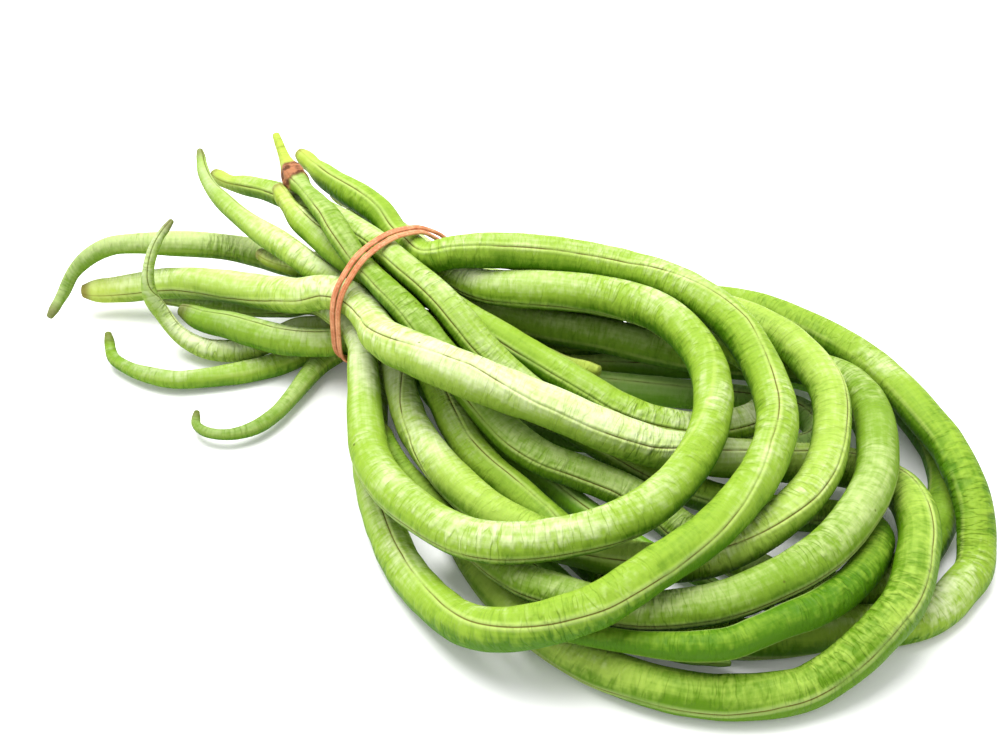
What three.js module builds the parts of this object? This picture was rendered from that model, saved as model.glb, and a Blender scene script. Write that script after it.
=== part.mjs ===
import * as THREE from 'three';

// A bunch of yardlong beans. Ten long pods are doubled over into loops, four short
// ones lie among them, and a rubber band is wound twice round the bundle.
// Millimetres, +Z up. The pods are laid out with the band at x = 0, the free ends
// towards -X and the loops towards +X.

// Sizes
const SIDES = 8; // flats round a pod
const RING_STEP = 7.2; // distance between two rings of a pod
const NODE_STEP = 2.6; // distance between two points while the pods settle
const GAP = 0.95; // room kept between two pods while they settle
const SINK = 0.9; // height of a lying pod's middle, as a share of its radius: it lies a little flat
const BUNDLE_Z = 24.5; // height of the bundle's middle under the band
const BUNDLE_R = 19.7; // radius of the bundle under the band
const BAND_R = 0.85; // radius of one strand of the rubber band
const BAND_PITCH = 1.35; // half the distance between the band's two turns
const BAND_GAP = 0.6; // room between the band and the pods
const BAND_TURNS = 2;
const BAND_CROSSING = 0.04; // share of the band over which one turn climbs across the other
const BAND_STEPS = 104;
const BAND_SIDES = 6;

// One pod: its radius in the loop, how its two ends are made, and the points its
// middle passes, from one end over the loop to the other.
const PODS = [
  {
    name: 'pod_top_loop', radius: 5.1, ends: ['stem', 'tip'], color: 0xa3c85e,
    route: [[-47, 12, 33], [-33, 11, 36], [-17, 11, 36], [0, 15, 31], [18, 18, 32], [33, 29, 33],
      [50, 41, 34], [65, 45, 35], [84, 41, 34], [99, 30, 33], [110, 13, 32], [114, -6, 30],
      [111, -20, 28], [104, -30, 25], [96, -39, 23], [86, -44, 21], [74, -46, 20], [62, -46, 19],
      [46, -42, 17], [32, -34, 16], [17, -24, 15], [0, -15, 16], [-13, -16, 13], [-27, -19, 9],
      [-42, -26, 7], [-56, -34, 6], [-68, -42, 6]],
  },
  {
    name: 'pod_upper_loop', radius: 5.3, ends: ['stem', 'blunt'], color: 0x93bd52,
    route: [[-63, 12, 37], [-41, 9, 38], [-22, 9, 39], [0, 12, 38], [15, 22, 37], [29, 35, 37],
      [45, 47, 36], [62, 53, 36], [83, 54, 35], [100, 48, 33], [115, 37, 32], [125, 19, 30],
      [129, -1, 28], [128, -19, 26], [126, -34, 23], [121, -43, 20], [114, -50, 16],
      [103, -55, 11], [88, -55, 7], [71, -52, 4], [55, -46, 4], [41, -39, 4], [25, -29, 4],
      [12, -19, 7], [0, -9, 9], [-12, -22, 10], [-22, -30, 9], [-33, -36, 9], [-42, -41, 9],
      [-49, -44, 10]],
  },
  {
    name: 'pod_third_loop', radius: 5.0, ends: ['stem', 'tip'], color: 0xb4d678,
    route: [[-46, 22, 9], [-30, 20, 11], [-15, 16, 14], [0, 13, 17], [15, 26, 20], [30, 42, 22],
      [45, 54, 24], [60, 62, 25], [78, 67, 27], [97, 67, 27], [112, 61, 27], [122, 51, 26],
      [130, 38, 25], [133, 25, 24], [132, 14, 21], [128, 2, 17], [122, -7, 15], [114, -14, 14],
      [104, -19, 13], [92, -24, 12], [79, -28, 12], [66, -29, 12], [52, -28, 12], [38, -23, 12],
      [20, -14, 16], [0, -7, 22], [-14, -13, 29], [-28, -15, 32], [-45, -17, 32], [-62, -17, 32],
      [-77, -15, 33], [-88, -10, 36]],
  },
  {
    name: 'pod_wide_loop', radius: 5.2, ends: ['tip', 'stem'], color: 0x82ad46,
    route: [[-82, -72, 4], [-84, -66, 8], [-84, -60, 15], [-79, -51, 22], [-69, -38, 23],
      [-60, -18, 17], [-46, -7, 14], [-34, -1, 14], [-18, 5, 20], [0, 9, 26], [14, 17, 23], [30, 29, 18],
      [46, 41, 17], [60, 49, 17], [76, 60, 17], [92, 74, 17], [106, 78, 18], [118, 73, 19],
      [129, 62, 21], [139, 49, 22], [145, 34, 22], [148, 18, 21], [145, 5, 19], [141, -7, 18],
      [135, -17, 17], [125, -28, 16], [112, -34, 15], [100, -38, 13], [87, -38, 10],
      [73, -38, 6]],
  },
  {
    name: 'pod_outer_loop', radius: 5.0, ends: ['tip', 'stem'], color: 0x8fba4e,
    route: [[-59, -64, 7], [-51, -67, 4], [-40, -64, 4], [-31, -58, 4], [-25, -48, 4],
      [-20, -36, 4], [-16, -22, 6], [-10, -5, 8], [0, 8, 11], [12, 20, 11], [25, 38, 11],
      [38, 57, 13], [50, 73, 15], [64, 83, 17], [84, 88, 18], [103, 90, 17], [117, 88, 16],
      [128, 84, 16], [139, 80, 15], [147, 75, 14], [155, 70, 11], [161, 65, 7], [166, 59, 4],
      [168, 50, 4], [169, 40, 4], [166, 30, 4], [158, 19, 4], [150, 4, 4], [140, -9, 4],
      [126, -15, 4], [110, -15, 4],
      [96, -14, 4], [82, -14, 6], [69, -15, 9], [58, -16, 12], [45, -14, 16], [30, -12, 20],
      [14, -12, 27], [0, -13, 32], [-17, -12, 37], [-33, -9, 37], [-49, -4, 38]],
  },
  {
    name: 'pod_far_loop', radius: 4.8, ends: ['tip', 'stalk'], color: 0x88b348,
    route: [[-14, -61, 4], [-9, -64, 4], [-3, -62, 4], [1, -57, 4], [2, -49, 4], [-1, -40, 4],
      [-6, -31, 4], [-11, -21, 4], [-10, -10, 6], [0, -2, 9], [12, 8, 9], [24, 28, 6],
      [38, 54, 4], [50, 78, 4], [62, 93, 4], [76, 103, 4], [92, 104, 4], [108, 99, 4],
      [120, 94, 4], [131, 89, 4], [139, 83, 4], [146, 75, 4], [151, 65, 4], [154, 54, 4],
      [155, 44, 4], [153, 34, 4], [148, 26, 4], [140, 19, 4], [126, 15, 4], [110, 12, 4],
      [96, 8, 8], [82, 0, 11], [72, -6, 13], [60, -9, 15], [46, -10, 19], [32, -10, 24],
      [16, -9, 31], [0, -8, 38], [-14, -7, 41], [-31, -4, 41], [-48, -1, 42], [-55, 1, 44],
      [-62, 3, 48]],
  },
  {
    name: 'pod_crossing_loop', radius: 5.5, ends: ['blunt', 'tip'], color: 0xbcdb86,
    route: [[-81, -60, 8], [-76, -53, 8], [-70, -46, 9], [-62, -38, 11], [-46, -30, 16],
      [-30, -24, 20], [-15, -19, 24], [0, -16, 27], [22, -18, 32], [36, -16, 33], [48, -12, 32],
      [60, -6, 30], [71, 0, 28], [82, 7, 24], [92, 16, 19], [99, 26, 15], [107, 37, 13],
      [114, 47, 11], [121, 56, 10], [130, 61, 10], [141, 60, 12], [152, 51, 15], [161, 38, 17],
      [167, 27, 16], [168, 15, 12], [167, 5, 8], [164, -5, 5], [158, -15, 5], [151, -23, 5],
      [143, -29, 5], [131, -35, 5], [117, -39, 5], [104, -40, 5], [92, -39, 5], [79, -36, 5],
      [66, -32, 7], [55, -30, 9], [44, -29, 12], [33, -25, 13]],
  },
  {
    name: 'pod_tight_bend', radius: 4.6, ends: ['stem', 'tip'], color: 0x9cc459,
    route: [[-82, -9, 30], [-74, -9, 31], [-60, -5, 34], [-40, -1, 37], [-20, 1, 40],
      [0, 0, 41], [14, -1, 38], [28, 0, 33], [42, 2, 26], [55, 6, 20], [68, 10, 15], [83, 15, 11],
      [94, 20, 8], [105, 26, 6], [116, 33, 4], [126, 41, 4], [136, 47, 6], [145, 45, 9],
      [152, 36, 13], [155, 23, 16], [155, 8, 17], [152, -4, 17], [150, -14, 17], [143, -23, 16],
      [134, -29, 14], [124, -36, 13], [113, -45, 12], [102, -49, 8]],
  },
  {
    name: 'pod_inner_loop', radius: 4.5, ends: ['stem', 'tip'], color: 0x9dc65c,
    route: [[-41, -21, 26], [-34, -20, 26], [-26, -18, 27], [-14, -11, 29], [0, -3, 32],
      [14, 2, 32], [26, 5, 29], [37, 8, 27], [48, 12, 24], [63, 17, 21], [77, 22, 18],
      [88, 30, 16], [96, 39, 16], [100, 49, 18], [98, 57, 21], [90, 60, 24], [78, 58, 26],
      [64, 54, 27], [48, 46, 27], [33, 36, 27], [17, 26, 27], [0, 16, 25], [-16, 18, 22],
      [-31, 22, 19], [-46, 27, 15]],
  },
  {
    name: 'pod_short_end', radius: 4.3, ends: ['tip', 'stem'], color: 0xa9cc66,
    route: [[-58, -38, 37], [-57, -44, 33], [-55, -49, 27], [-53, -51, 20], [-49, -49, 12],
      [-41, -47, 7], [-33, -43, 6], [-25, -35, 6], [-17, -22, 8], [-9, -4, 14], [0, 5, 17],
      [14, 10, 19], [30, 18, 17], [45, 24, 16], [58, 28, 18]],
  },
  {
    name: 'pod_low_loop', radius: 4.4, ends: ['stem', 'tip'], color: 0x86b04a,
    route: [[-38, 8, 10], [-20, 6, 14], [-9, 3, 21], [0, 0, 24], [10, 0, 21], [20, 6, 12],
      [32, 18, 4], [46, 31, 4], [60, 43, 4], [76, 57, 4], [90, 68, 4], [101, 72, 4],
      [108, 64, 4], [103, 53, 4], [92, 44, 4], [80, 31, 4], [70, 18, 4], [60, 10, 4],
      [49, 7, 4], [38, 6, 4]],
  },
  {
    name: 'pod_low_middle', radius: 4.6, ends: ['stem', 'tip'], color: 0x8bb54e,
    route: [[-7, -4, 16], [0, -5, 16], [12, -7, 12], [24, -7, 7], [36, -5, 4],
      [52, -3, 4], [68, -2, 4], [84, -2, 4], [100, -1, 4], [116, 2, 4], [130, 5, 4],
      [142, 10, 4]],
  },
  {
    name: 'pod_low_back', radius: 4.2, ends: ['stem', 'tip'], color: 0x84ae48,
    route: [[34, 33, 5], [46, 46, 4], [58, 58, 4], [72, 72, 4], [88, 83, 4], [102, 84, 4],
      [114, 78, 4], [122, 70, 4], [127, 62, 4]],
  },
  {
    name: 'pod_low_front', radius: 3.8, ends: ['stem', 'tip'], color: 0x8cb650,
    route: [[64, -23, 4], [78, -24, 4], [94, -24, 4], [110, -24, 4], [124, -23, 4],
      [136, -19, 4], [146, -10, 4]],
  },
];

// A pod's radius, as a share of its loop radius, at a distance from one of its ends.
const END_PROFILE = {
  stem: [[0, 0.4], [2, 0.5], [5, 0.53], [9, 0.5], [18, 0.72], [40, 0.88], [90, 1]],
  stalk: [[0, 0.24], [4, 0.3], [10, 0.36], [13, 0.5], [16, 0.62], [20, 0.6], [24, 0.52],
    [32, 0.66], [50, 0.86], [95, 1]],
  blunt: [[0, 0.37], [2, 0.55], [5, 0.66], [12, 0.78], [30, 0.9], [80, 1]],
  tip: [[0, 0.2], [3, 0.3], [12, 0.4], [30, 0.56], [60, 0.78], [95, 0.92], [140, 1]],
};
const BAND_PINCH = 0.17; // share of its radius that a pod loses under the band
const BAND_PINCH_REACH = 22; // how far from the band the pinch still shows
const TIED_REACH = 9; // how far from the band a pod is held in the bundle

function profileAt(profile, distance) {
  for (let i = 1; i < profile.length; i++) {
    const [end, share] = profile[i];
    if (distance > end) continue;
    const [start, before] = profile[i - 1];
    return before + (share - before) * THREE.MathUtils.smootherstep(distance, start, end);
  }
  return profile.at(-1)[1];
}

function layOut({ route, radius, ends, name, color }) {
  const curve = new THREE.CatmullRomCurve3(
    route.map((point) => new THREE.Vector3(...point)), false, 'centripetal');
  curve.arcLengthDivisions = 1200;
  const length = curve.getLength();
  const count = Math.round(length / NODE_STEP);
  const goal = curve.getSpacedPoints(count);
  const nodes = goal.map((point) => point.clone());
  const radii = goal.map((point, i) => {
    const along = (i / count) * length;
    const share = Math.min(profileAt(END_PROFILE[ends[0]], along),
      profileAt(END_PROFILE[ends[1]], length - along));
    return radius * share * (1 - BAND_PINCH * Math.exp(-((point.x / BAND_PINCH_REACH) ** 2)));
  });
  const tied = goal.map(({ x, y, z }) =>
    Math.abs(x) < TIED_REACH && Math.hypot(y, z - BUNDLE_Z) < BUNDLE_R + 2);
  return { name, color, goal, nodes, radii, tied };
}

// Settling: the pods are drawn towards their routes, push each other apart, lie
// on the table and are gathered under the band.
const ROUNDS = 600;
const CELL = 13; // size of a cell of the grid that finds neighbouring points
const OWN_REACH = 14; // points of one pod closer than this in number never push
const LIFT = 2.6; // room under the bundle for the band's lower run
const LIFT_REACH = 13;

function smoothShift({ goal, nodes }, stiffness, pull) {
  const shift = nodes.map((node, i) => node.clone().sub(goal[i]));
  const last = nodes.length - 1;
  nodes.forEach((node, i) => {
    const before = shift[Math.max(i - 1, 0)];
    const after = shift[Math.min(i + 1, last)];
    const mean = before.clone().add(after).multiplyScalar(0.5);
    const smooth = shift[i].clone().lerp(mean, stiffness).multiplyScalar(1 - pull);
    node.copy(goal[i]).add(smooth);
  });
}

function pushApart(pods) {
  const cells = new Map();
  const key = (x, y, z) => (x * 1000 + y) * 1000 + z;
  const cellOf = (value) => Math.floor(value / CELL) + 100;
  const delta = new THREE.Vector3();
  pods.forEach((pod, podIndex) => {
    pod.nodes.forEach((node, i) => {
      const [cx, cy, cz] = [cellOf(node.x), cellOf(node.y), cellOf(node.z)];
      for (let x = cx - 1; x <= cx + 1; x++) {
        for (let y = cy - 1; y <= cy + 1; y++) {
          for (let z = cz - 1; z <= cz + 1; z++) {
            for (const other of cells.get(key(x, y, z)) ?? []) {
              if (other.podIndex === podIndex && i - other.i < OWN_REACH) continue;
              delta.copy(node).sub(other.node);
              const reach = pod.radii[i] + other.radius + GAP;
              const distance = delta.length();
              if (distance >= reach || distance === 0) continue;
              delta.multiplyScalar((0.42 * (reach - distance)) / distance);
              node.add(delta);
              other.node.sub(delta);
            }
          }
        }
      }
      const home = key(cx, cy, cz);
      if (!cells.has(home)) cells.set(home, []);
      cells.get(home).push({ podIndex, i, node, radius: pod.radii[i] });
    });
  });
}

function gather({ nodes, radii, tied }) {
  nodes.forEach((node, i) => {
    const out = new THREE.Vector2(node.y, node.z - BUNDLE_Z);
    const excess = out.length() - (BUNDLE_R - radii[i]);
    if (tied[i] && excess > 0) {
      out.setLength(excess * 0.6 * Math.exp(-((node.x / TIED_REACH) ** 2)));
      node.y -= out.x;
      node.z -= out.y;
    }
    const lift = Math.abs(node.y) < 24 ? LIFT * Math.exp(-((node.x / LIFT_REACH) ** 2)) : 0;
    node.z = Math.max(node.z, radii[i] * SINK + lift);
  });
}

function settle(pods) {
  for (let round = 0; round < ROUNDS; round++) {
    const left = Math.max(1 - round / (0.7 * ROUNDS), 0);
    pods.forEach((pod) => smoothShift(pod, 0.15 + 0.6 * left, 0.03 * left));
    pushApart(pods);
    pods.forEach(gather);
  }
}

// Closed tube with a point at each end, around a line of centres
function tube(centres, radii, sides, closed = false) {
  const count = centres.length;
  const up = new THREE.Vector3(0, 0, 1);
  const side = new THREE.Vector3();
  const positions = [];
  const push = (point) => positions.push(point.x, point.y, Math.max(point.z, 0));
  for (let i = 0; i < count; i++) {
    const before = centres[closed ? (i + count - 1) % count : Math.max(i - 1, 0)];
    const after = centres[closed ? (i + 1) % count : Math.min(i + 1, count - 1)];
    const along = after.clone().sub(before).normalize();
    const level = along.clone().cross(up);
    if (side.lengthSq() === 0) side.copy(level);
    if (side.dot(level) < 0) level.negate();
    side.addScaledVector(along, -side.dot(along)).normalize();
    if (!closed && Math.abs(along.z) < 0.8) side.lerp(level.normalize(), 0.5).normalize();
    if (closed) side.set(1, 0, 0).addScaledVector(along, -along.x).normalize();
    const rise = side.clone().cross(along).normalize();
    for (let k = 0; k < sides; k++) {
      const turn = ((k + 0.5) / sides) * 2 * Math.PI;
      push(centres[i].clone()
        .addScaledVector(side, radii[i] * Math.cos(turn))
        .addScaledVector(rise, radii[i] * Math.sin(turn)));
    }
  }
  const index = [];
  const rings = closed ? count : count - 1;
  for (let i = 0; i < rings; i++) {
    for (let k = 0; k < sides; k++) {
      const a = i * sides + k;
      const b = i * sides + ((k + 1) % sides);
      const c = ((i + 1) % count) * sides + k;
      const d = ((i + 1) % count) * sides + ((k + 1) % sides);
      index.push(a, d, b, a, c, d);
    }
  }
  if (!closed) {
    const first = count * sides;
    push(centres[0].clone().lerp(centres[1], -0.25));
    push(centres.at(-1).clone().lerp(centres.at(-2), -0.25));
    for (let k = 0; k < sides; k++) {
      const next = (k + 1) % sides;
      index.push(first, k, next);
      index.push(first + 1, (count - 1) * sides + next, (count - 1) * sides + k);
    }
  }
  const geometry = new THREE.BufferGeometry();
  geometry.setAttribute('position', new THREE.Float32BufferAttribute(positions, 3));
  geometry.setIndex(index);
  return geometry;
}

// The points of a pod that carry a ring: close together at its ends
function ringPoints({ nodes, radii }) {
  const last = nodes.length - 1;
  const stride = Math.round(RING_STEP / NODE_STEP);
  const kept = nodes.map((_, i) => i)
    .filter((i) => i < 4 || i > last - 4 || (i % stride === 0 && i < last - 4));
  return [kept.map((i) => nodes[i]), kept.map((i) => radii[i])];
}

// The rubber band: a loop that lies round the outside of the pods twice and
// crosses over itself once
function bandLine(pods) {
  const rods = pods.flatMap(({ nodes, radii }) =>
    nodes.map(({ x, y, z }, i) => ({ x, y, z, radius: radii[i] })))
    .filter(({ x, y, z }) => Math.abs(x) < 6 && Math.hypot(y, z - BUNDLE_Z) < BUNDLE_R);
  const outline = [];
  for (let step = 0; step < 720; step++) {
    const turn = (step / 720) * 2 * Math.PI;
    const [cos, sin] = [Math.cos(turn), Math.sin(turn)];
    const reach = (rod) => rod.y * cos + rod.z * sin + rod.radius;
    const rod = rods.reduce((best, other) => (reach(other) > reach(best) ? other : best));
    const radius = rod.radius + BAND_GAP + BAND_R;
    outline.push(new THREE.Vector3(0, rod.y + radius * cos, rod.z + radius * sin));
  }
  const hull = new THREE.CatmullRomCurve3(
    outline.filter((point, i) => i === 0 || point.distanceTo(outline[i - 1]) > 0.3),
    true, 'centripetal');
  hull.arcLengthDivisions = 2000;
  const middle = new THREE.Vector3(0, 0, BUNDLE_Z);
  const line = [];
  for (let step = 0; step < BAND_STEPS; step++) {
    const share = step / BAND_STEPS;
    const point = hull.getPointAt((share * BAND_TURNS + 0.62) % 1);
    const crossing = Math.exp(-(((share - 0.25) / BAND_CROSSING) ** 2));
    const out = point.clone().sub(middle).normalize();
    point.addScaledVector(out, 2.25 * BAND_R * crossing);
    point.x = BAND_PITCH * Math.tanh(4 * Math.cos(share * 2 * Math.PI));
    line.push(point);
  }
  return line;
}

function mesh(name, geometry, color, roughness) {
  const piece = new THREE.Mesh(geometry,
    new THREE.MeshStandardMaterial({ color, roughness, metalness: 0 }));
  piece.name = name;
  return piece;
}

const pods = PODS.map(layOut);
settle(pods);

const bunch = new THREE.Group();
for (const pod of pods) {
  bunch.add(mesh(pod.name, tube(...ringPoints(pod), SIDES), pod.color, 0.45));
}
const line = bandLine(pods);
bunch.add(mesh('rubber_band', tube(line, line.map(() => BAND_R), BAND_SIDES, true), 0xd08a5c, 0.6));

// The origin goes to the middle of the bunch's footprint
const box = new THREE.Box3().setFromObject(bunch);
const centre = box.getCenter(new THREE.Vector3());
bunch.position.set(-centre.x, -centre.y, 0);

export default bunch;
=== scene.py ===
import math

import bmesh
import bpy
import numpy as np
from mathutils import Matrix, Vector


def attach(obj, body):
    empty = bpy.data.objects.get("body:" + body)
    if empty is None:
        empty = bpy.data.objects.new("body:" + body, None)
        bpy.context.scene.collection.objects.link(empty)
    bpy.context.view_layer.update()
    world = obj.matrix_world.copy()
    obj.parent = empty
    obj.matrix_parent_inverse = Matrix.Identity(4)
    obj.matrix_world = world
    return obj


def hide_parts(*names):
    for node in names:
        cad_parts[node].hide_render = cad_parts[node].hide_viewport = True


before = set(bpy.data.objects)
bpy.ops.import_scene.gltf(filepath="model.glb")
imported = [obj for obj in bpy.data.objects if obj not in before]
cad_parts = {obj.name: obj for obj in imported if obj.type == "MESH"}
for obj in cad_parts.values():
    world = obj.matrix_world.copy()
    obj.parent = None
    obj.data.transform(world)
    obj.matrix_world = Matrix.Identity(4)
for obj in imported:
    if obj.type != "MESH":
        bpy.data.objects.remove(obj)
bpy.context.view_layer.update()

# A bunch of yardlong beans: ten long pods doubled into loops, four short ones among
# them, and a rubber band wound twice round the bundle. The free ends point to -X.
MM = 0.001
TURN = 2 * math.pi

# The dried calyx between a pod and its stalk, given in millimetres from the stalk's end
NO_CALYX = -100
CALYX_REACH = 4.6
CALYX_SWELL = 0.8 * MM
CALYX_LOBES, CALYX_LOBE_COUNT = 0.4 * MM, 5

# How finely a pod's skin is drawn
RING_STEP = 1.2 * MM
COLUMNS = 56
CAP_SHARES = np.array([0.0, 0.3, 0.55, 0.75, 0.9, 0.98])
CAP_DEPTH = 0.65 * MM
SEAM_CROWDING, SEAM_CROWD_WIDTH = 4.5, 0.045
BACK_CROWDING, BACK_CROWD_WIDTH = 1.5, 0.05

# Corners nearer than this are one: in a CAD node's loose triangles, and in a rolled sheet
JOIN_WITHIN = 0.002 * MM
CLOSE_WITHIN = 0.0005 * MM

# The seam, where the two halves of a pod meet: a fine groove between two soft lips
SEAM_LIP = 0.16 * MM
SEAM_LIP_AT = 0.7 * MM
SEAM_LIP_WIDTH = 0.45 * MM
SEAM_GROOVE = 0.16 * MM
SEAM_GROOVE_WIDTH = 0.2 * MM
BACK_RIDGE = 0.12 * MM
BACK_RIDGE_WIDTH = 0.8 * MM
SEAM_STARTS, SEAM_GROWS_OVER = 4, 14  # in mm from the stem
SEAM_FULL_RADIUS, SEAM_LEAST = 3.5, 0.3  # the seam is weaker where a pod is thinner, in mm

CAD_SIDES = 8
BEND_SHOW = 3.5  # how fast the wrinkles deepen with the bend
BEND_MOST = 0.7
BEND_SPREAD = 15  # over how many rings the bend is averaged
END_DRY = 0.6  # how brown a pod's two ends are, unless its line below says otherwise

# The seeds, which show as low swellings
SEED_PITCH = 11.5 * MM
SEED_SWELL = 0.16 * MM
PITCH_CHANGE, PITCH_CHANGE_LENGTH = 0.25, 60 * MM
SEED_SHOW, SEED_SHOW_CHANGE, SEED_SHOW_LENGTH = 0.55, 0.45, 50 * MM
SEED_AT_SEAM, SEED_AT_SIDE = 0.35, 0.65

# How a pod departs from a round, even tube, as shares of its radius
SLOW_SWELL, SLOW_SWELL_LENGTH = 0.03, 38 * MM
QUICK_SWELL, QUICK_SWELL_LENGTH = 0.018, 13 * MM
OVAL = 0.02
NECK_RIDGES, NECK_RIDGE_COUNT, NECK_RIDGE_TURN = 0.05, 5, 1.3
NECK_AT, NECK_WIDTH = 9, 8  # in mm from the stem

# Low lumps all over the skin, and lower ones half their size
LUMP, LUMP_LENGTH, LUMPS_ROUND = 0.07 * MM, 5.5 * MM, 7
SMALL_LUMP, SMALL_LUMP_LENGTH = 0.03 * MM, 2.6 * MM

# Each pod: the slot it takes its finish from, where its seam runs, as (mm from the
# stem, degrees from the top towards the right hand), and how pale its skin is
# along it, as (mm from the stem, 0 for deep green to 1 for pale). Some have a stouter
# stretch, as (mm from the stem, share of the radius), drier or fresher ends, a calyx
# at so many mm from the stem, or painted shade: the rich green of a pod that lies in
# the shade of the others
PODS = {
    "pod_top_loop": dict(
        slot="pod_fresh",
        seam=[(0, 95), (91, 105), (103, 117), (150, 175), (199, 240), (215, 262), (245, 266)],
        tone=[(0, 0.6), (100, 0.6), (150, 0.45), (190, 0.45), (230, 0.65), (270, 0.4),
              (340, 0.7)],
        stout=[(50, 0.0), (75, 0.1), (110, 0.1), (140, 0.0)]),
    "pod_upper_loop": dict(
        slot="pod_fresh",
        seam=[(0, 20), (60, 25), (92, 42), (130, 36), (152, 12), (170, -8), (195, 3), (216, 0),
              (236, -34), (262, -63), (290, -48), (318, -22), (345, -5)],
        tone=[(0, 0.4), (60, 0.2), (100, 0.5), (180, 0.35), (220, 0.55), (255, 0.2), (340, 0.35),
              (400, 0.6)],
        stout=[(60, 0.0), (90, 0.08), (130, 0.0)]),
    "pod_third_loop": dict(
        slot="pod_pale",
        seam=[(0, -45), (205, -43), (222, -47), (234, -36), (250, -22), (322, -108), (332, -88),
              (343, -51), (357, -25), (368, 12), (400, 30)],
        tone=[(0, 0.45), (180, 0.35), (240, 0.4), (300, 0.1), (340, 0.6)]),
    "pod_wide_loop": dict(
        slot="pod_deep", seam=[(0, 90)], tone=[(0, 0.5), (300, 0.5), (380, 0.85)]),
    "pod_outer_loop": dict(
        slot="pod_fresh",
        seam=[(0, -10), (110, 4), (140, -2), (180, 60), (220, 125)],
        tone=[(0, 0.45), (100, 0.45), (140, 0.0), (185, 0.0), (260, 0.7), (300, 0.0), (340, 0.5),
              (380, 0.2), (460, 0.5)]),
    "pod_far_loop": dict(
        slot="pod_deep",
        seam=[(0, 40), (133, 65), (163, 60), (203, 100), (313, 120)],
        tone=[(0, 0.5), (230, 0.5), (260, 0.25), (460, 0.25), (500, 0.6)],
        calyx=17, stem_dry=0.2),
    "pod_crossing_loop": dict(
        slot="pod_pale",
        seam=[(0, 80), (31, 81), (51, 100), (100, 60), (144, 19), (152, 17), (164, 38), (172, 50),
              (186, 55), (203, 50), (212, 35), (260, 0), (330, -50), (360, -69), (372, -86),
              (392, -90), (402, -104), (460, -95)],
        tone=[(0, 0.55), (60, 0.65), (120, 0.65), (190, 0.8), (215, 0.5), (260, 0.3),
              (300, 0.1), (380, 0.0), (420, 0.4), (500, 0.1)],
        stout=[(60, 0.0), (95, 0.11), (170, 0.06), (230, 0.0)],
        stem_dry=0.8),
    "pod_tight_bend": dict(
        slot="pod_fresh", seam=[(0, 60)],
        tone=[(0, 0.5), (140, 0.6), (190, 0.1), (250, -0.05)]),
    "pod_inner_loop": dict(
        slot="pod_fresh", seam=[(0, 60)],
        tone=[(0, 0.8), (60, 0.45), (100, 0.3), (140, 0.55), (180, 0.8), (220, 0.6)]),
    "pod_short_end": dict(
        slot="pod_pale", seam=[(0, 20)], tone=[(0, 0.2), (60, 0.4), (140, 0.9)],
        stem_dry=0.1),
    "pod_low_loop": dict(
        slot="pod_deep", seam=[(0, 20)], tone=[(0, 0.4), (100, 0.4), (140, 0.8)],
        tip_dry=0.0, in_painted_shade=0.5),
    "pod_low_middle": dict(
        slot="pod_deep", seam=[(0, 20)], tone=[(0, 0.4)], tip_dry=0.0, in_painted_shade=0.5),
    "pod_low_back": dict(
        slot="pod_deep", seam=[(0, 40)], tone=[(0, 0.7)], tip_dry=0.0, in_painted_shade=0.5),
    "pod_low_front": dict(
        slot="pod_deep", seam=[(0, 60)], tone=[(0, 0.6)], tip_dry=0.0, in_painted_shade=0.5),
}


# Lines and noise
def hermite(knots, values, at):
    """The values at the distances `at`, on a smooth curve through `values` at `knots`."""
    slope = np.gradient(values, knots, axis=0)
    i = np.clip(np.searchsorted(knots, at, side="right") - 1, 0, len(knots) - 2)
    gap = (knots[i + 1] - knots[i])[:, None]
    t = (at - knots[i])[:, None] / gap
    start = (1 + 2 * t) * (1 - t) ** 2 * values[i] + t * (1 - t) ** 2 * gap * slope[i]
    end = t**2 * (3 - 2 * t) * values[i + 1] + t**2 * (t - 1) * gap * slope[i + 1]
    return start + end


def smooth_noise(turns, along, cells_round, cell, rng):
    """Smooth noise from -1 to 1 on a skin, with so many cells round it, each `cell` long."""
    y = (along - along.min()) / cell
    x = turns * cells_round
    grid = rng.uniform(-1, 1, (int(y.max()) + 3, cells_round))
    x0 = np.floor(x).astype(int)
    y0 = np.floor(y).astype(int)
    fx = (x - x0) ** 2 * (3 - 2 * (x - x0))
    fy = (y - y0) ** 2 * (3 - 2 * (y - y0))
    x0, x1 = x0 % cells_round, (x0 + 1) % cells_round
    near = grid[y0, x0] * (1 - fx) + grid[y0, x1] * fx
    far = grid[y0 + 1, x0] * (1 - fx) + grid[y0 + 1, x1] * fx
    return near * (1 - fy) + far * fy


def hump(distance, width):
    return np.exp(-((distance / width) ** 2))


def merged_copy(node):
    """A CAD node's mesh as a bmesh, with its loose triangles joined."""
    bm = bmesh.new()
    bm.from_mesh(node.data)
    bmesh.ops.remove_doubles(bm, verts=bm.verts, dist=JOIN_WITHIN)
    return bm


def ring_of(vertices):
    """The centre of some vertices and their mean distance from it."""
    places = np.array([v.co[:] for v in vertices])
    centre = places.mean(axis=0)
    return centre, np.linalg.norm(places - centre, axis=1).mean()


def pod_line(node):
    """The middle of a CAD pod and its radius, ring by ring, from its stem end to its tip."""
    bm = merged_copy(node)
    for vertex in bm.verts:
        vertex.tag = False
    poles = [v for v in bm.verts if len(v.link_edges) == CAD_SIDES]
    stem = max(poles, key=lambda v: ring_of([e.other_vert(v) for e in v.link_edges])[1])
    ring = [stem]
    stem.tag = True
    centres, radii = [], []
    while True:
        following = []
        for vertex in ring:
            for edge in vertex.link_edges:
                other = edge.other_vert(vertex)
                if not other.tag:
                    other.tag = True
                    following.append(other)
        if len(following) < CAD_SIDES:
            break
        centre, radius = ring_of(following)
        centres.append(centre)
        radii.append(radius)
        ring = following
    bm.free()
    return np.array(centres), np.array(radii)


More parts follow.
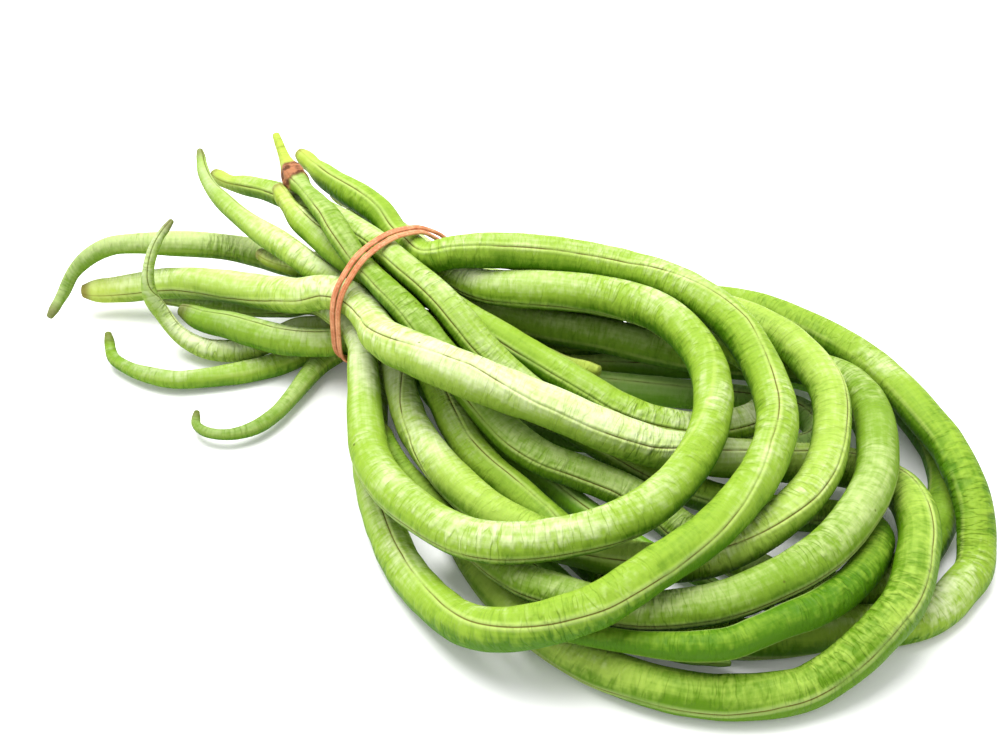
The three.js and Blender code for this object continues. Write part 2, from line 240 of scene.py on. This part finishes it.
# The skin of a pod
def column_turns():
    """Where a pod's columns run, in turns from its seam: close together at both seams."""
    turns = np.linspace(0, 1, 4001)
    at_seam = np.minimum(turns, 1 - turns)
    density = 1 + SEAM_CROWDING * hump(at_seam, SEAM_CROWD_WIDTH)
    density = density + BACK_CROWDING * hump(np.abs(turns - 0.5), BACK_CROWD_WIDTH)
    share = np.concatenate([[0], np.cumsum((density[1:] + density[:-1]) / 2)])
    return np.interp(np.linspace(0, share[-1], COLUMNS + 1), share, turns)


def unit(vectors):
    return vectors / np.linalg.norm(vectors, axis=-1, keepdims=True)


def rolled_sheet(name, places):
    """A tube rolled from a flat grid: `places` holds a row of points for each ring."""
    rows, columns = places.shape[:2]
    bm = bmesh.new()
    bmesh.ops.create_grid(bm, x_segments=columns - 1, y_segments=rows - 1, size=1.0)
    mesh = bpy.data.meshes.new(name)
    bm.to_mesh(mesh)
    bm.free()
    flat = np.empty(len(mesh.vertices) * 3)
    mesh.vertices.foreach_get("co", flat)
    flat = flat.reshape(-1, 3)
    column = np.rint((flat[:, 0] + 1) / 2 * (columns - 1)).astype(int)
    row = np.rint((flat[:, 1] + 1) / 2 * (rows - 1)).astype(int)
    mesh.vertices.foreach_set("co", places[row, column].ravel())
    return mesh, row, column


def keep(mesh, name, values):
    """Stores one number, or one vector, for each vertex of a mesh, for its material to read."""
    kind, field = ("FLOAT", "value") if values.ndim == 1 else ("FLOAT_VECTOR", "vector")
    layer = mesh.attributes.new(name, kind, "POINT")
    layer.data.foreach_set(field, values.ravel().astype(np.float32))


def close_up(mesh):
    """Joins the edges of a rolled sheet, turns its faces outwards and shades it smooth."""
    bm = bmesh.new()
    bm.from_mesh(mesh)
    bmesh.ops.remove_doubles(bm, verts=bm.verts, dist=CLOSE_WITHIN)
    bmesh.ops.recalc_face_normals(bm, faces=bm.faces)
    for face in bm.faces:
        face.smooth = True
    bm.to_mesh(mesh)
    bm.free()


def along_pod(pairs, stem_mm):
    """The values given as (mm from the stem, value), at each distance from the stem."""
    return np.interp(stem_mm, [mm for mm, _ in pairs], [value for _, value in pairs])


def pod_skin(name, spec, seed):
    rng = np.random.default_rng(seed)
    centres, radii = pod_line(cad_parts[name])
    knots = np.concatenate([[0], np.cumsum(np.linalg.norm(np.diff(centres, axis=0), axis=1))])
    length = knots[-1]
    cap_back = CAP_DEPTH * np.sqrt(1 - CAP_SHARES**2)
    body = np.linspace(0, length, int(length / RING_STEP))
    station = np.concatenate([-cap_back, body, length + cap_back[::-1]])
    narrow = np.concatenate([CAP_SHARES, np.ones(len(body)), CAP_SHARES[::-1]])
    inside = np.clip(station, 0, length)
    middle = hermite(knots, centres, inside)
    ahead = hermite(knots, centres, np.clip(inside + MM, 0, length))
    behind = hermite(knots, centres, np.clip(inside - MM, 0, length))
    forward = unit(ahead - behind)
    middle = middle + forward * (station - inside)[:, None]
    radius = hermite(knots, radii[:, None], inside)[:, 0]

    top = unit(np.array([0, 0, 1.0]) - forward * forward[:, 2:])
    right = np.cross(forward, top)

    turns, along = np.meshgrid(column_turns(), station)
    stem_mm = (station / MM)[:, None]
    seam_angle = np.radians(along_pod(spec["seam"], stem_mm))
    angle = turns * TURN + seam_angle
    seam_gap = np.minimum(turns, 1 - turns) * TURN * radius[:, None]
    back_gap = np.abs(turns - 0.5) * TURN * radius[:, None]

    radial = np.cos(angle)[..., None] * top[:, None] + np.sin(angle)[..., None] * right[:, None]

    # How sharply the pod bends
    turning = np.gradient(forward, station, axis=0)
    average = np.ones(BEND_SPREAD) / BEND_SPREAD
    turning = np.stack([np.convolve(axis, average, "same") for axis in turning.T], axis=1)
    bend = np.clip(np.linalg.norm(turning, axis=1) * radius * BEND_SHOW, 0, BEND_MOST)

    # How far the skin is from the middle: the CAD's radius and what departs from it
    size = (radius / radius.max())[:, None]
    swell = along_pod(spec.get("stout", [(0, 0.0)]), stem_mm)
    no_turn = turns * 0
    swell = swell + smooth_noise(no_turn, along, 1, SLOW_SWELL_LENGTH, rng) * SLOW_SWELL
    swell = swell + smooth_noise(no_turn, along, 1, QUICK_SWELL_LENGTH, rng) * QUICK_SWELL
    calyx = hump(stem_mm - spec.get("calyx", NO_CALYX), CALYX_REACH)
    oval = OVAL * np.cos(2 * turns * TURN)
    pitch_noise = smooth_noise(no_turn, along, 1, PITCH_CHANGE_LENGTH, rng)
    pitch = SEED_PITCH * (1 + PITCH_CHANGE * pitch_noise)
    phase = np.cumsum(np.gradient(station)[:, None] / pitch[:, :1], axis=0)
    seeds = 0.5 - 0.5 * np.cos(phase * TURN)
    show_noise = smooth_noise(no_turn, along, 1, SEED_SHOW_LENGTH, rng)
    seed_show = SEED_SHOW + SEED_SHOW_CHANGE * show_noise
    seeds = seeds * seed_show * (SEED_AT_SEAM + SEED_AT_SIDE * np.sin(turns * TURN) ** 2)
    lumps = smooth_noise(turns, along, LUMPS_ROUND, LUMP_LENGTH, rng) * LUMP
    small = smooth_noise(turns, along, 2 * LUMPS_ROUND, SMALL_LUMP_LENGTH, rng)
    lumps = lumps + small * SMALL_LUMP
    grown = np.clip((stem_mm - SEAM_STARTS) / SEAM_GROWS_OVER, 0, 1)
    seam_strength = grown * np.clip(radius[:, None] / MM / SEAM_FULL_RADIUS, SEAM_LEAST, 1)
    lips = SEAM_LIP * hump(seam_gap - SEAM_LIP_AT, SEAM_LIP_WIDTH)
    groove = SEAM_GROOVE * hump(seam_gap, SEAM_GROOVE_WIDTH)
    back = BACK_RIDGE * hump(back_gap, BACK_RIDGE_WIDTH)
    neck = NECK_RIDGES * np.cos(NECK_RIDGE_COUNT * turns * TURN + NECK_RIDGE_TURN)
    neck = neck * hump(stem_mm - NECK_AT, NECK_WIDTH)
    reach = radius[:, None] * (1 + swell * size + oval + neck)
    reach = reach + seeds * SEED_SWELL * size + lumps * size
    reach = reach + (lips - groove + back) * seam_strength
    lobes = CALYX_LOBES * np.cos(CALYX_LOBE_COUNT * turns * TURN)
    reach = reach + calyx * (CALYX_SWELL + lobes)
    reach = reach * narrow[:, None]

    places = middle[:, None] + radial * reach[..., None]
    places[..., 2] = np.maximum(places[..., 2], 0)
    mesh, row, column = rolled_sheet(name + "_skin", places)

    # What the materials read: a place on the straightened pod, shifted so that no two pods
    # get the same pattern, and how far that place is from the seams and from the ends
    shift = rng.uniform(0, 1, 3)
    around = turns * TURN
    across = radius[:, None]
    on_skin = np.stack([across * np.cos(around), across * np.sin(around), along], axis=2)
    keep(mesh, "on_skin", (on_skin + shift)[row, column])
    keep(mesh, "seam_gap", (seam_gap / MM)[row, column])
    keep(mesh, "back_gap", (back_gap / MM)[row, column])
    keep(mesh, "from_stem", (station / MM)[row])
    keep(mesh, "from_tip", ((length - station) / MM)[row])
    keep(mesh, "tone", along_pod(spec["tone"], station / MM)[row])
    keep(mesh, "bend", bend[row])
    # Which way the skin faces, up or down, for the painted shade on its sides and below
    keep(mesh, "upward", radial[..., 2][row, column])
    keep(mesh, "calyx", calyx[row, 0])
    keep(mesh, "stalk", np.clip((spec.get("calyx", NO_CALYX) - station / MM) / 4, 0, 1)[row])
    keep(mesh, "stem_dry", np.full(len(row), spec.get("stem_dry", END_DRY)))
    keep(mesh, "tip_dry", np.full(len(row), spec.get("tip_dry", END_DRY)))
    # How much painted shade, a richer green, the pod takes where it lies under the others
    keep(mesh, "in_painted_shade", np.full(len(row), spec.get("in_painted_shade", 0.0)))
    close_up(mesh)
    pod = bpy.data.objects.new(name + "_skin", mesh)
    bpy.context.scene.collection.objects.link(pod)
    return pod


# Materials
def srgb(red, green, blue):
    """A colour given as it looks on a screen, 0 to 255, as the numbers a shader takes."""
    shares = [value / 255 for value in (red, green, blue)]
    return (*[c / 12.92 if c <= 0.04045 else ((c + 0.055) / 1.055) ** 2.4 for c in shares], 1)


# The richer green painted as shade on the pods that lie under others, then the colours of the
# pod's own marks
PAINTED_SHADE_GREEN = srgb(92, 156, 12)
SCAR = srgb(84, 92, 24)
SEAM_LIPS = srgb(206, 220, 140)
SEAM_LINE = srgb(92, 80, 16)
BACK_LINE = srgb(186, 202, 112)
YELLOWING = srgb(178, 190, 74)
DRY_STEM = srgb(112, 96, 40)
DRY_TIP = srgb(88, 76, 44)
STALK = srgb(166, 184, 70)
CALYX_PALE = srgb(166, 110, 74)
CALYX_DARK = srgb(88, 48, 22)


def new_material(name):
    material = bpy.data.materials.new(name)
    material.use_nodes = True
    material.node_tree.nodes.clear()
    return material, material.node_tree


def add(tree, kind, inputs=None, **settings):
    """A node, with its settings, and its inputs set to values or joined to other outputs."""
    made = tree.nodes.new("ShaderNode" + kind)
    for name, value in settings.items():
        setattr(made, name, value)
    for name, value in (inputs or {}).items():
        if isinstance(value, bpy.types.NodeSocket):
            tree.links.new(value, made.inputs[name])
        else:
            made.inputs[name].default_value = value
    return made


def read(tree, name):
    """What `keep` stored under that name: a number."""
    return add(tree, "Attribute", attribute_name=name).outputs["Fac"]


def calculate(tree, operation, *values):
    return add(tree, "Math", dict(enumerate(values)), operation=operation).outputs[0]


def ease(tree, value, start, end, low=0.0, high=1.0):
    """A smooth change from `low` to `high` as `value` goes from `start` to `end`."""
    if start > end:
        start, end, low, high = end, start, high, low
    inputs = {"Value": value, "From Min": start, "From Max": end, "To Min": low, "To Max": high}
    made = add(tree, "MapRange", inputs, interpolation_type="SMOOTHSTEP")
    return made.outputs["Result"]


def blend(tree, share, first, second, mode="MIX"):
    mix = add(tree, "Mix", data_type="RGBA", blend_type=mode)
    for index, value in ((0, share), (6, first), (7, second)):
        if isinstance(value, bpy.types.NodeSocket):
            tree.links.new(value, mix.inputs[index])
        else:
            mix.inputs[index].default_value = value
    return mix.outputs[2]


def noise_at(tree, place, scale, detail=2.0):
    noise = add(tree, "TexNoise", {"Vector": place, "Scale": scale, "Detail": detail})
    return noise.outputs["Fac"]


def stretched_noise(tree, place, across, along, detail=2.0, rough=0.55):
    """Noise on a pod's skin with that many cells a metre across it and along it."""
    scaled = add(tree, "Mapping", {"Vector": place, "Scale": (across, across, along)})
    noise = add(tree, "TexNoise", {"Vector": scaled.outputs[0], "Scale": 1.0, "Detail": detail,
                                   "Roughness": rough})
    return noise.outputs["Fac"]


def pod_material(name, pale, body, deep):
    """Green bean skin: mottled, streaked and finely wrinkled, with a brown seam line. Painted
    light and shade make it paler on top and on the wrinkles' ridges, and deeper on the sides and
    below, in the wrinkles' hollows and creases, and on pods that lie in shade.
    """
    material, tree = new_material(name)
    place = add(tree, "Attribute", attribute_name="on_skin").outputs["Vector"]
    object_place = add(tree, "TexCoord").outputs["Object"]
    tone = read(tree, "tone")
    seam_gap, back_gap = read(tree, "seam_gap"), read(tree, "back_gap")
    from_stem, from_tip = read(tree, "from_stem"), read(tree, "from_tip")
    stem_dry, tip_dry = read(tree, "stem_dry"), read(tree, "tip_dry")
    bend, calyx, stalk = read(tree, "bend"), read(tree, "calyx"), read(tree, "stalk")

    # Broad changes of tone, as from sun and shade on the plant, and painted shade, paler on
    # top and deeper on the sides and below
    clouds = noise_at(tree, object_place, 34.0, detail=3.0)
    patches = stretched_noise(tree, place, 200, 80, detail=3.0)
    level = calculate(tree, "ADD", tone, ease(tree, clouds, 0.3, 0.7, -0.12, 0.12))
    level = calculate(tree, "ADD", level, ease(tree, patches, 0.3, 0.7, -0.06, 0.06))
    # Painted shade: paler where the skin faces up, deeper on the sides and below
    shade = ease(tree, read(tree, "upward"), -0.5, 1.0, -0.5, 0.18)
    level = calculate(tree, "ADD", level, shade)

    # Soft wrinkles across the pod, deepest where it bends, with painted shade in their
    # hollows and painted highlight on their ridges
    wrinkles = stretched_noise(tree, place, 230, 560, detail=1.5, rough=0.5)
    wrinkle_patches = stretched_noise(tree, place, 60, 45, detail=1.0)
    wrinkle_show = calculate(tree, "ADD", ease(tree, wrinkle_patches, 0.4, 0.65, 0.1, 0.55), bend)
    wrinkle_show = calculate(tree, "MINIMUM", wrinkle_show, 1.0)
    relief = calculate(tree, "MULTIPLY", ease(tree, wrinkles, 0.3, 0.7, -0.5, 0.5), wrinkle_show)
    # Painted shade in the wrinkles' hollows and painted highlight on their ridges, from the
    # height of the bump
    level = calculate(tree, "ADD", level, calculate(tree, "MULTIPLY", relief, 0.24))

    # Fine creases across the pod, where the wrinkles are, with painted shade along them
    folds = stretched_noise(tree, place, 110, 520, detail=1.5, rough=0.5)
    fold_gap = calculate(tree, "ABSOLUTE", calculate(tree, "SUBTRACT", folds, 0.5))
    crease = calculate(tree, "MULTIPLY", ease(tree, fold_gap, 0.05, 0.0), wrinkle_show)
    # Painted shade along the creases
    level = calculate(tree, "SUBTRACT", level, calculate(tree, "MULTIPLY", crease, 0.12))
    relief = calculate(tree, "SUBTRACT", relief, calculate(tree, "MULTIPLY", crease, 0.3))

    # Finer grain: cells of the skin and faint streaks along it
    grain = stretched_noise(tree, place, 520, 900, detail=2.0)
    streaks = stretched_noise(tree, place, 900, 60, detail=2.0)
    level = calculate(tree, "ADD", level, ease(tree, grain, 0.3, 0.7, -0.05, 0.05))
    level = calculate(tree, "ADD", level, ease(tree, streaks, 0.3, 0.7, -0.05, 0.05))
    colour = blend(tree, ease(tree, level, -0.1, 0.5), deep, body)
    colour = blend(tree, ease(tree, level, 0.45, 1.1), colour, pale)

    # Painted shade: the richer green of the pods that lie in the shade of the others
    colour = blend(tree, read(tree, "in_painted_shade"), colour, PAINTED_SHADE_GREEN)

    # A few brown scars and specks
    scars = add(tree, "TexVoronoi", {"Vector": place, "Scale": 120.0}, feature="F1")
    scar = ease(tree, scars.outputs["Distance"], 0.07, 0.03)
    scar_patches = noise_at(tree, place, 40.0)
    scar = calculate(tree, "MULTIPLY", scar, ease(tree, scar_patches, 0.5, 0.58, 0.0, 0.8))
    colour = blend(tree, scar, colour, SCAR)

    # The seams: pale lips each side of a fine brown line, broken here and there
    breaks = stretched_noise(tree, place, 30, 75, detail=3.0)
    lips = calculate(tree, "MULTIPLY", ease(tree, seam_gap, 1.5, 0.5, 0.0, 0.32),
                     ease(tree, breaks, 0.25, 0.6, 0.4, 1.0))
    colour = blend(tree, lips, colour, SEAM_LIPS)
    line_show = ease(tree, breaks, 0.36, 0.56, 0.12, 0.9)
    line = calculate(tree, "MULTIPLY", ease(tree, seam_gap, 0.3, 0.04), line_show)
    colour = blend(tree, line, colour, SEAM_LINE)
    back_line = calculate(tree, "MULTIPLY", ease(tree, back_gap, 0.9, 0.2, 0.0, 0.3), line_show)
    colour = blend(tree, back_line, colour, BACK_LINE)

    # The ends: a yellowing stem with a brown scar, and a darker, drying tip
    colour = blend(tree, ease(tree, from_stem, 22, 3, 0.0, 0.5), colour, YELLOWING)
    brown_stem = calculate(tree, "MULTIPLY", ease(tree, from_stem, 3.6, 0.6), stem_dry)
    colour = blend(tree, brown_stem, colour, DRY_STEM)
    colour = blend(tree, ease(tree, from_tip, 60, 12, 0.0, 0.4), colour, deep)
    brown_tip = calculate(tree, "MULTIPLY", ease(tree, from_tip, 6.0, 1.2), tip_dry)
    colour = blend(tree, brown_tip, colour, DRY_TIP)

    # The pale stalk and the withered calyx that one pod has kept
    colour = blend(tree, stalk, colour, STALK)
    withered = noise_at(tree, place, 420.0, detail=3.0)
    calyx_colour = blend(tree, ease(tree, withered, 0.42, 0.6), CALYX_PALE, CALYX_DARK)
    colour = blend(tree, ease(tree, calyx, 0.3, 0.65), colour, calyx_colour)

    # Fine relief
    height = calculate(tree, "ADD", relief, calculate(tree, "MULTIPLY", grain, 0.25))
    height = calculate(tree, "ADD", height, calculate(tree, "MULTIPLY", streaks, 0.15))
    bump = add(tree, "Bump", {"Height": height, "Strength": 0.9, "Distance": 0.55 * MM})
    surface = add(tree, "BsdfPrincipled", {
        "Base Color": colour,
        "Roughness": ease(tree, patches, 0.3, 0.7, 0.54, 0.68),
        "Normal": bump.outputs["Normal"],
        "Specular IOR Level": 0.15,
        "Subsurface Weight": 0.12,
        "Subsurface Radius": (0.7, 1.0, 0.2),
        "Subsurface Scale": 1.5 * MM,
    })
    add(tree, "OutputMaterial", {"Surface": surface.outputs[0]})
    return material


# The three greens of each finish: where a pod is pale, its body, and where it is deep
GREENS = {
    "pod_fresh": (srgb(204, 214, 164), srgb(134, 166, 48), srgb(70, 114, 2)),
    "pod_pale": (srgb(210, 220, 172), srgb(152, 180, 70), srgb(84, 124, 6)),
    "pod_deep": (srgb(182, 198, 130), srgb(114, 148, 36), srgb(58, 100, 2)),
}
FINISHES = {slot: pod_material(slot, *greens) for slot, greens in GREENS.items()}

for number, (pod_name, spec) in enumerate(PODS.items()):
    skin = pod_skin(pod_name, spec, seed=100 + number)
    skin.data.materials.append(FINISHES[spec["slot"]])
    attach(skin, "root")
    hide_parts(pod_name)


# The rubber band
BAND_RING = 1.4 * MM  # edges shorter than this run round a strand, longer ones along it
STRAND_WIDER = 1.42
STRAND_FLATTER = 0.86
RIB_PITCH = 0.55 * MM
RUBBER, RUBBER_WORN = srgb(190, 114, 72), srgb(220, 152, 108)
RUBBER_GROOVE_SHADE, RUBBER_DUST = srgb(150, 80, 46), srgb(240, 194, 150)


def rubber_material():
    """Salmon rubber, with fine ribs along it, painted shade in the grooves between them, and
    paler where it is stretched and dusty.
    """
    material, tree = new_material("band")
    place = add(tree, "TexCoord").outputs["Object"]
    across = read(tree, "across")
    worn = noise_at(tree, place, 260.0, detail=4.0)
    dust = noise_at(tree, place, 1300.0)
    ribs = calculate(tree, "SINE", calculate(tree, "MULTIPLY", across, TURN * MM / RIB_PITCH))
    colour = blend(tree, ease(tree, worn, 0.35, 0.65), RUBBER, RUBBER_WORN)
    # Painted shade in the grooves between the ribs
    colour = blend(tree, ease(tree, ribs, 0.2, -0.9, 0.0, 0.45), colour, RUBBER_GROOVE_SHADE)
    colour = blend(tree, ease(tree, dust, 0.5, 0.7, 0.0, 0.35), colour, RUBBER_DUST)
    height = calculate(tree, "ADD", calculate(tree, "MULTIPLY", ribs, 0.5), dust)
    bump = add(tree, "Bump", {"Height": height, "Strength": 0.5, "Distance": 0.12 * MM})
    surface = add(tree, "BsdfPrincipled", {
        "Base Color": colour,
        "Roughness": ease(tree, worn, 0.3, 0.7, 0.55, 0.7),
        "Normal": bump.outputs["Normal"],
        "Specular IOR Level": 0.3,
    })
    add(tree, "OutputMaterial", {"Surface": surface.outputs[0]})
    return material


def strand_rings(bm):
    """The vertices of the band, ring by ring."""
    rings, seen = [], set()
    for first in bm.verts:
        if first in seen:
            continue
        ring = [first]
        seen.add(first)
        for vertex in ring:
            for edge in vertex.link_edges:
                other = edge.other_vert(vertex)
                if other not in seen and edge.calc_length() < BAND_RING:
                    seen.add(other)
                    ring.append(other)
        rings.append(ring)
    return rings


band_bm = merged_copy(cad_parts["rubber_band"])
bmesh.ops.join_triangles(band_bm, faces=band_bm.faces, angle_face_threshold=0.9,
                         angle_shape_threshold=1.2)
band_bm.verts.index_update()
across_band = np.zeros(len(band_bm.verts))
for ring in strand_rings(band_bm):
    centre = Vector(ring_of(ring)[0])
    for vertex in ring:
        offset = vertex.co - centre
        across_band[vertex.index] = offset.x / MM
        vertex.co = centre + Vector((offset.x * STRAND_WIDER, offset.y * STRAND_FLATTER,
                                     offset.z * STRAND_FLATTER))
for face in band_bm.faces:
    face.smooth = True
band_mesh = bpy.data.meshes.new("rubber_band_wound")
band_bm.to_mesh(band_mesh)
band_bm.free()
keep(band_mesh, "across", across_band)
band = bpy.data.objects.new("rubber_band_wound", band_mesh)
bpy.context.scene.collection.objects.link(band)
rounding = band.modifiers.new("rounding", "SUBSURF")
rounding.levels = rounding.render_levels = 2
band_mesh.materials.append(rubber_material())
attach(band, "root")
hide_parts("rubber_band")


# The table, the light and the camera
TABLE_REACH = 3.0  # each way from the middle
TABLE_WHITE, TABLE_GLOW = 0.93, 0.06
STUDIO_LIGHT = 0.87
LAMP_AT, LAMP_SIZE, LAMP_WATTS = (-0.3, 0.02, 1.0), 0.9, 19
CAMERA_AT = Vector((0.2512, -0.2241, 0.2930))
CAMERA_LOOK = Vector((-0.5868, 0.4924, -0.6428))
CAMERA_LENS, CAMERA_SENSOR = 55.08, 36.0


def stage_material():
    material, tree = new_material("white_table")
    surface = add(tree, "BsdfPrincipled", {
        "Base Color": (TABLE_WHITE, TABLE_WHITE, TABLE_WHITE, 1), "Roughness": 0.9,
        "Specular IOR Level": 0.1, "Emission Color": (1, 1, 1, 1),
        "Emission Strength": TABLE_GLOW})
    add(tree, "OutputMaterial", {"Surface": surface.outputs[0]})
    return material


floor_bm = bmesh.new()
bmesh.ops.create_grid(floor_bm, x_segments=1, y_segments=1, size=TABLE_REACH)
floor_mesh = bpy.data.meshes.new("table")
floor_bm.to_mesh(floor_mesh)
floor_bm.free()
floor_mesh.materials.append(stage_material())
floor = bpy.data.objects.new("table", floor_mesh)
bpy.context.scene.collection.objects.link(floor)

world = bpy.data.worlds.new("studio")
bpy.context.scene.world = world
world.use_nodes = True
world.node_tree.nodes["Background"].inputs["Color"].default_value = (1, 1, 1, 1)
world.node_tree.nodes["Background"].inputs["Strength"].default_value = STUDIO_LIGHT


def area_light(name, place, target, size, power):
    light = bpy.data.lights.new(name, "AREA")
    light.shape = "SQUARE"
    light.size = size
    light.energy = power
    holder = bpy.data.objects.new(name, light)
    holder.location = place
    holder.rotation_mode = "QUATERNION"
    holder.rotation_quaternion = (Vector(target) - Vector(place)).to_track_quat("-Z", "Y")
    bpy.context.scene.collection.objects.link(holder)


area_light("overhead", LAMP_AT, (0, 0, 0), LAMP_SIZE, LAMP_WATTS)

camera_data = bpy.data.cameras.new("camera")
camera_data.sensor_width = CAMERA_SENSOR
camera_data.lens = CAMERA_LENS
camera = bpy.data.objects.new("camera", camera_data)
camera.location = CAMERA_AT
camera.rotation_mode = "QUATERNION"
camera.rotation_quaternion = CAMERA_LOOK.to_track_quat("-Z", "Y")
camera_data.clip_start = 0.01
bpy.context.scene.collection.objects.link(camera)
bpy.context.scene.camera = camera
bpy.context.scene.view_settings.view_transform = "Standard"
